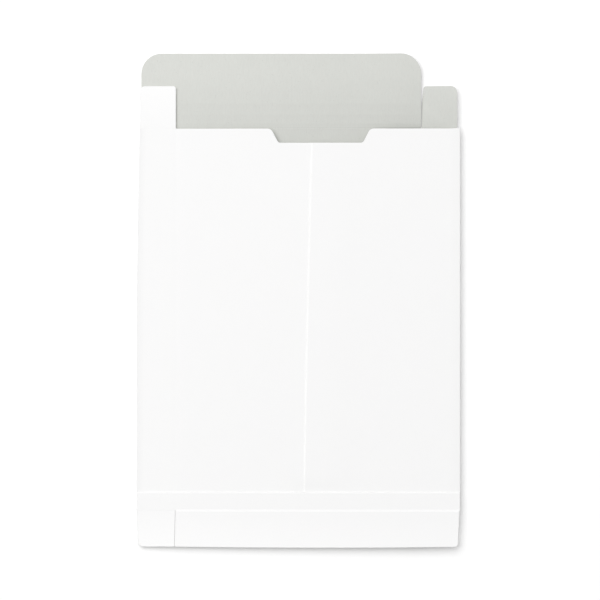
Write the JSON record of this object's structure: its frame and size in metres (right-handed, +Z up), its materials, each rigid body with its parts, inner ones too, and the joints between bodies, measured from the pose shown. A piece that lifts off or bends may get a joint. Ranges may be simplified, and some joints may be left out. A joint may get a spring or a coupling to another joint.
{
  "type": "storage envelope",
  "caption": "Flat board storage envelope, white outside and grey inside: a sleeve with a thumb notch and a centre seam, a lid, dust flaps and foot flaps.",
  "frame": {"origin": "centre of the bounding box's bottom, on the outer face of the back panel, which lies on the ground", "axes": "+Y towards the lid, +Z up out of the front panel, +X to the right seen from above"},
  "size_m": [0.2622, 0.4, 0.0078],
  "materials": {
    "white_board": "smooth coated white outside, light satin",
    "grey_board": "uncoated light grey inside, matte"
  },
  "bodies": {
    "root": {"sleeve": "white_board", "foot_strip": "white_board"},
    "lid": {"lid": "grey_board"},
    "dust_flap_left": {"dust_flap_left": "white_board"},
    "dust_flap_right": {"dust_flap_right": "grey_board"},
    "foot_flap_front": {"foot_flap_front": "white_board"},
    "foot_flap_left": {"foot_flap_left": "white_board"},
    "foot_flap_back": {"foot_flap_back": "grey_board"},
    "foot_flap_right": {"foot_flap_right": "grey_board"}
  },
  "joints": [
    {"name": "lid_fold", "type": "hinge", "parent": "root", "child": "lid", "pos_m": [-0.12855, 0.13955, 0], "axis": [1, 0, 0], "range_deg": [-170, 0]},
    {"name": "dust_flap_left_fold", "type": "hinge", "parent": "root", "child": "dust_flap_left", "pos_m": [-0.12786, 0.13955, 0.0014], "axis": [0.9993, 0, 0.0363], "range_deg": [0, 170]},
    {"name": "dust_flap_right_fold", "type": "hinge", "parent": "root", "child": "dust_flap_right", "pos_m": [0.1003, 0.1398, 0], "axis": [0.9816, 0, 0.1908], "range_deg": [-170, 80]},
    {"name": "foot_flap_front_fold", "type": "hinge", "parent": "root", "child": "foot_flap_front", "pos_m": [-0.09895, -0.17015, 0.00385], "axis": [-0.9998, 0, -0.0174], "range_deg": [0, 170]},
    {"name": "foot_flap_left_fold", "type": "hinge", "parent": "root", "child": "foot_flap_left", "pos_m": [-0.13036, -0.17015, 0.002], "axis": [-0.9983, 0, -0.0588], "range_deg": [0, 170]},
    {"name": "foot_flap_back_fold", "type": "hinge", "parent": "root", "child": "foot_flap_back", "pos_m": [-0.13105, -0.17015, 0], "axis": [-1, 0, 0], "range_deg": [-170, 0]},
    {"name": "foot_flap_right_fold", "type": "hinge", "parent": "root", "child": "foot_flap_right", "pos_m": [0.1003, -0.17015, 0], "axis": [-0.9816, 0, -0.1908], "range_deg": [-170, 0]}
  ]
}
